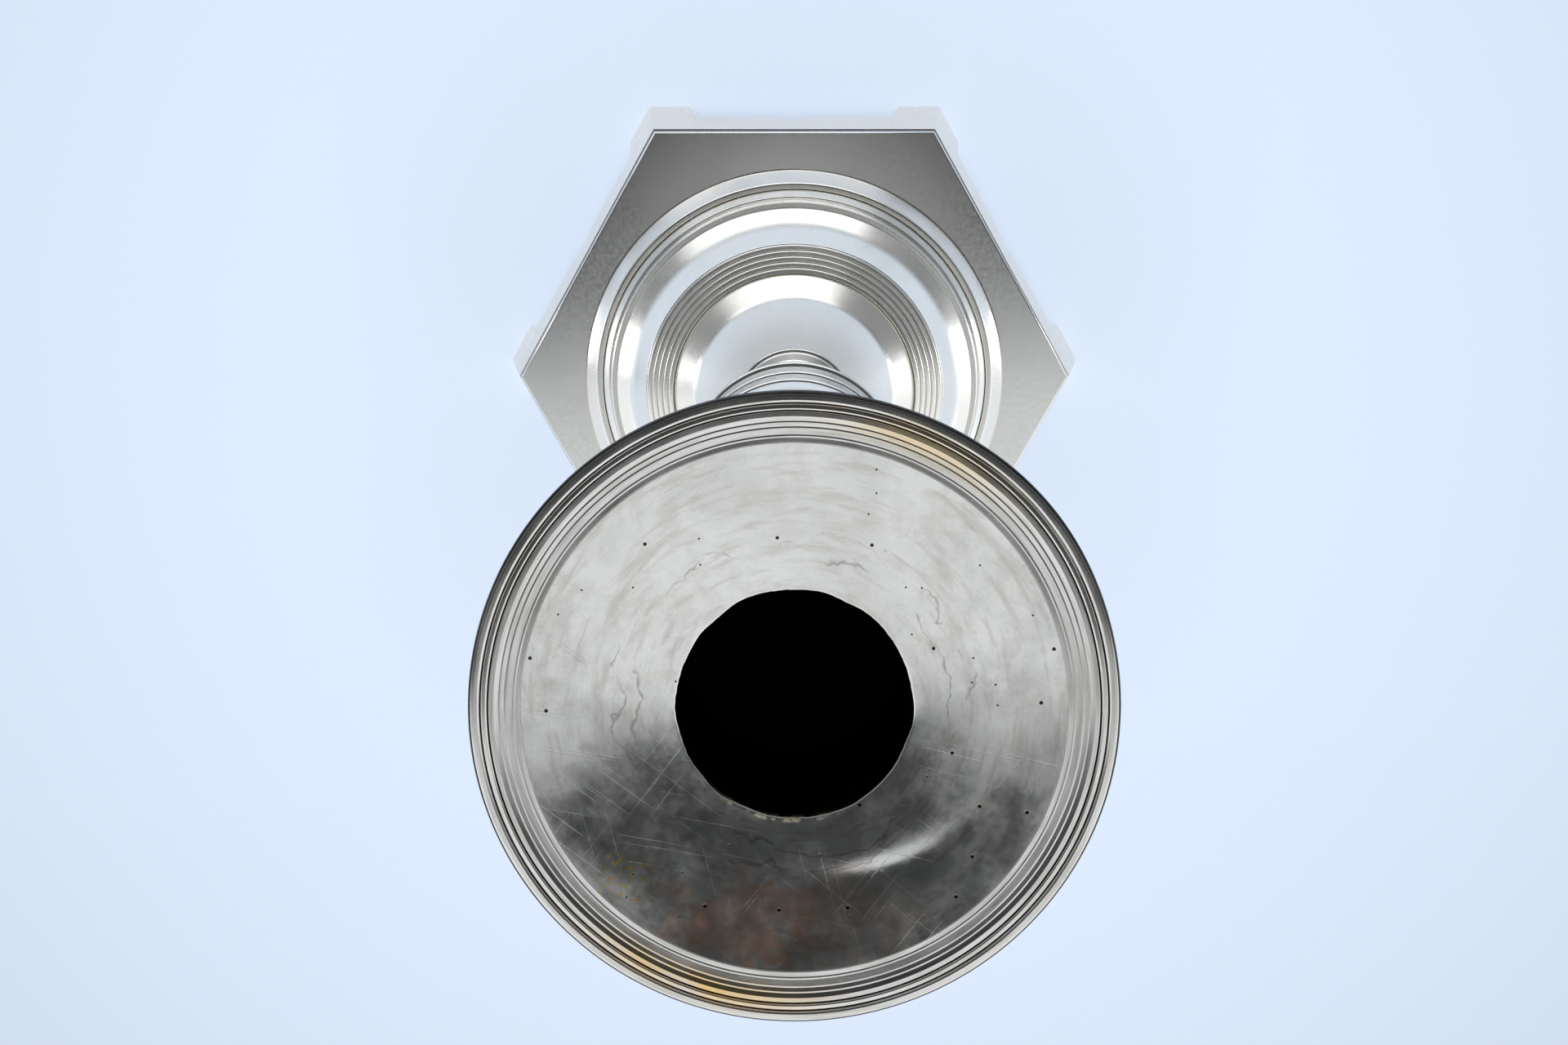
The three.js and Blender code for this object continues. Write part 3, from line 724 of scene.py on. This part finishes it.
def socket_wire():
    low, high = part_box("socket_rim")
    corners = [
        (SOCKET_RADIUS, low.z / MM, 0), (high.x / MM, low.z / MM, 1.2), (high.x / MM, high.z / MM, 1.2),
        (SOCKET_RADIUS, high.z / MM, 0)]
    place(turned("socket_wire", rounded(corners)), "stick", "polished_silver", STEM, "socket_rim")


socket()
socket_wire()

# ---- Nozzle ----
BORE_EDGE = RIM_LEVEL - DISH_DEPTH
SHEET = 0.9
DISH_EDGE = 26.6
RIM_SEAT = RIM_LEVEL - 0.3
FLANGE_RADIUS = 30.7
DISH_RING_GAP = 0.4


def rim_warp(radius, angle, height):
    """The rim stands out a little on one side, where it was bent, the dish is uneven and has a shallow
    curved dent, and the hole's edge was cut by hand."""
    bulge = 0.35 * math.exp(-((angle - math.radians(40)) / 0.4) ** 2)
    share = max(0.0, (radius - 24) / 8)
    spoke = Vector((math.cos(angle), math.sin(angle), 0))
    near_hole = max(0.0, 1 - (radius - BORE_RADIUS) / 1.0)
    ragged = noise.noise(spoke * 3.5) * 0.24 + noise.noise(spoke * 22) * 0.06
    in_dish = max(0.0, min(1.0, (DISH_EDGE - radius) / 3, (radius - BORE_RADIUS) / 2))
    uneven = noise.noise(spoke * radius * 0.09 + Vector((0, 0, 5))) * 0.10
    off_dent = (math.degrees(angle) - 298) / 24
    dent = 0.2 * math.exp(-((radius - 18.9 - 1.4 * off_dent) / 1.5) ** 2 - off_dent ** 2)
    return radius + bulge * share + ragged * near_hole, height + in_dish * (uneven - dent)


def pan():
    """The pan. Its dish has rings of points close enough together to carry the dent."""
    rise = (DISH_DEPTH - 0.1) / (DISH_EDGE - BORE_RADIUS)
    top = []
    radius = DISH_EDGE - DISH_RING_GAP
    while radius > BORE_RADIUS + 0.6:
        top.append((radius, BORE_EDGE + rise * (radius - BORE_RADIUS), 0))
        radius -= DISH_RING_GAP
    corners = [
        (BORE_RADIUS, BORE_EDGE - SHEET, 0.1), (DISH_EDGE, RIM_LEVEL - SHEET, 1),
        (FLANGE_RADIUS, RIM_LEVEL - SHEET, 0.2), (FLANGE_RADIUS, RIM_SEAT, 0.05),
        (DISH_EDGE, RIM_SEAT, 0), (DISH_EDGE, RIM_LEVEL - 0.1, 0.03), *top,
        (BORE_RADIUS, BORE_EDGE, 0.35)]
    piece = turned("drip_pan", rounded(corners), warp=rim_warp)
    place(piece, "nozzle", "worn_silver", WORN, "nozzle_pan")
    piece.data.materials.append(TARNISHED)
    for face in piece.data.polygons:
        if face.normal.z < -0.5:
            face.material_index = 1


def rim():
    """The rim: a bead at the outside, a finer one inside it, then a hollow that runs in to the dish."""
    z = RIM_LEVEL
    r = RIM_RADIUS
    seat = RIM_SEAT + 0.02
    seat_edge = FLANGE_RADIUS + 0.02
    corners = [
        (seat_edge, z - 0.7, 0.1), (r, z - 0.7, 0.4), (r, z + 0.56, 0.6), (30.6, z + 0.56, 0.45),
        (30.5, z + 0.05, 0.05),
        (30.4, z + 0.4, 0.2), (29.9, z + 0.45, 0.2), (29.75, z + 0.1, 0.05), (29.65, z + 0.28, 0.1),
        (29.2, z + 0.26, 0.1), (28.75, z + 0.12, 0.05), (28.6, z + 0.125, 0.05), (28.2, z + 0.05, 0.08),
        (28.05, z + 0.053, 0.04), (27.4, z - 0.025, 0.1), (27.25, z - 0.024, 0.04), (27.1, z - 0.05, 0.05),
        (DISH_EDGE + 0.02, z - 0.07, 0.04),
        (DISH_EDGE + 0.02, seat, 0), (seat_edge, seat, 0)]
    piece = turned("pan_rim", rounded(corners), warp=rim_warp)
    place(piece, "nozzle", "polished_silver", RIM, "nozzle_rim")
    piece.data.materials.append(OXIDE_AND_SHADE)
    for face in piece.data.polygons:
        radius = math.hypot(face.center.x, face.center.y) / MM
        # painted shade: the bead's outer side is painted black; the groove's black is oxide
        painted_dark_edge = radius > r - 0.6 and face.normal.z < 0.85
        in_groove = 29.6 < radius < 30.7 and seat + 0.1 < face.center.z / MM < z + 0.22
        if painted_dark_edge or in_groove:
            face.material_index = 1


def sleeve():
    corners = [
        (BORE_RADIUS, SLEEVE_BOTTOM, 0.1), (SLEEVE_RADIUS, SLEEVE_BOTTOM, 0.1),
        (SLEEVE_RADIUS, BORE_EDGE - SHEET, 0), (BORE_RADIUS, BORE_EDGE - SHEET, 0)]
    piece = turned("candle_sleeve", rounded(corners))
    place(piece, "nozzle", "oxidised_silver", TARNISHED, "nozzle_sleeve")
    blacken_inside(piece, (BORE_RADIUS + SLEEVE_RADIUS) / 2, SLEEVE_BOTTOM)


pan()
rim()
sleeve()

# ---- Pieces kept from the CAD, inside the foot ----
HIDDEN_PIECES = {
    "base_filler": PITCH, "clamp_plate": IRON, "tie_washer": IRON, "tie_nut": IRON, "tie_rod": IRON}
for node, material in HIDDEN_PIECES.items():
    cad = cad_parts[node]
    cad.data.materials.clear()
    cad.data.materials.append(material)


# ---- Stage, lights and camera ----
def stage_floor():
    """A pale paper floor. It glows under the foot, and far off it takes the background's tone."""
    mesh = bpy.data.meshes.new("floor")
    reach = 8
    corners = [(-reach, -reach, 0), (reach, -reach, 0), (reach, reach, 0), (-reach, reach, 0)]
    mesh.from_pydata(corners, [], [(0, 1, 2, 3)])
    floor = bpy.data.objects.new("floor", mesh)
    bpy.context.scene.collection.objects.link(floor)
    n = Nodes("floor_paper")
    paper = n.mix(n.noise(3, 2), rgb(0.70, 0.78, 0.90), rgb(0.72, 0.80, 0.92))
    n.feed(n.shader.inputs["Base Color"], paper)
    n.shader.inputs["Roughness"].default_value = 0.9
    n.shader.inputs["Specular IOR Level"].default_value = 0.1
    n.shader.inputs["Emission Color"].default_value = rgb(0.72, 0.81, 0.96)
    distance = n.polar()[0]
    near_glow = n.step(distance, 70, 300, 0.54, 0.27)
    far_glow = n.step(distance, 400, 4000, 0.0, 0.36)
    n.feed(n.shader.inputs["Emission Strength"], n.math("ADD", near_glow, far_glow))
    floor.data.materials.append(n.material)


def area_light(name, place, target, size, brightness, for_floor=False):
    """A soft panel. The metal's panels are seen only in reflections, the floor's lights only the floor."""
    light = bpy.data.lights.new(name, "AREA")
    light.shape = "RECTANGLE"
    light.size, light.size_y = size
    light.energy = brightness * size[0] * size[1] * math.pi
    light.color = (0.93, 0.965, 1.0)
    lamp = bpy.data.objects.new(name, light)
    lamp.location = place
    aim = Vector(target) - Vector(place)
    lamp.rotation_mode = "QUATERNION"
    lamp.rotation_quaternion = aim.to_track_quat("-Z", "Y")
    bpy.context.scene.collection.objects.link(lamp)
    lamp.visible_camera = False
    if for_floor:
        lamp.visible_glossy = False
    else:
        lamp.visible_diffuse = False
    return lamp


def lights():
    area_light("table_card", (0, -0.07, 0.245), (-0.005, 0, 0.245), (2.4, 0.49), 0.80)
    area_light("top_softbox", (-0.06, 0.28, 0.135), (-0.06, 0, 0.135), (0.42, 0.17), 1.4)
    for side, x in (("left", -0.45), ("right", 0.45)):
        area_light(f"{side}_softbox", (x, 0.03, 0.09), (0, 0.03, 0.09), (0.08, 0.18), 4.8)
    area_light("floor_light", (0, 0, 3.0), (0, 0, 0), (1.2, 1.2), 7.9, for_floor=True)


def dim_room():
    """The world: a dim room in reflections, lighter at mid height, and a pale background for the camera."""
    world = bpy.data.worlds.new("room")
    bpy.context.scene.world = world
    world.use_nodes = True
    tree = world.node_tree
    tree.nodes.clear()

    def add(kind, links, **settings):
        node = tree.nodes.new(kind)
        for key, value in settings.items():
            setattr(node, key, value)
        for socket, value in links.items():
            if isinstance(value, bpy.types.NodeSocket):
                tree.links.new(value, node.inputs[socket])
            else:
                node.inputs[socket].default_value = value
        return node.outputs[0]

    mid_height = 0.44
    direction = add("ShaderNodeSeparateXYZ", {0: tree.nodes.new("ShaderNodeTexCoord").outputs["Generated"]})
    height = direction.node.outputs["Z"]
    fading = {"Value": height, "From Min": 0.1, "From Max": 0.9, "To Min": 0.22, "To Max": 0.05}
    fade = add("ShaderNodeMapRange", fading)
    off_wall = add("ShaderNodeMath", {0: height, 1: mid_height}, operation="SUBTRACT")
    off_wall = add("ShaderNodeMath", {0: off_wall}, operation="ABSOLUTE")
    lightening = {"Value": off_wall, "From Min": 0.0, "From Max": 0.28, "To Min": 0.17, "To Max": 0.0}
    wall = add("ShaderNodeMapRange", lightening, interpolation_type="SMOOTHSTEP")
    strength = add("ShaderNodeMath", {0: fade, 1: wall}, operation="ADD")
    room = add("ShaderNodeBackground", {0: (0.90, 0.95, 1.0, 1), 1: strength})
    paper = add("ShaderNodeBackground", {0: (0.52, 0.60, 0.73, 1), 1: 1.0})
    seen = tree.nodes.new("ShaderNodeLightPath").outputs["Is Camera Ray"]
    shown = add("ShaderNodeMixShader", {0: seen, 1: room, 2: paper})
    output = tree.nodes.new("ShaderNodeOutputWorld")
    tree.links.new(shown, output.inputs[0])


def camera():
    """Above the pan, 12 degrees off the axis, at the photograph's angle. The 75 mm lens is assumed."""
    tilt = math.radians(12)
    data = bpy.data.cameras.new("camera")
    data.lens = 75
    data.sensor_width = 36
    data.clip_start = 0.01
    cam = bpy.data.objects.new("camera", data)
    bpy.context.scene.collection.objects.link(cam)
    above_pan = 306.2
    behind_axis = 83.9
    turn_left = math.radians(0.18)
    position = Matrix.Translation(Vector((0, behind_axis, RIM_LEVEL + above_pan)) * MM)
    cam.matrix_world = position @ Matrix.Rotation(-tilt, 4, "X") @ Matrix.Rotation(turn_left, 4, "Y")
    bpy.context.scene.camera = cam


stage_floor()
lights()
dim_room()
camera()
bpy.context.scene.view_settings.view_transform = "Standard"
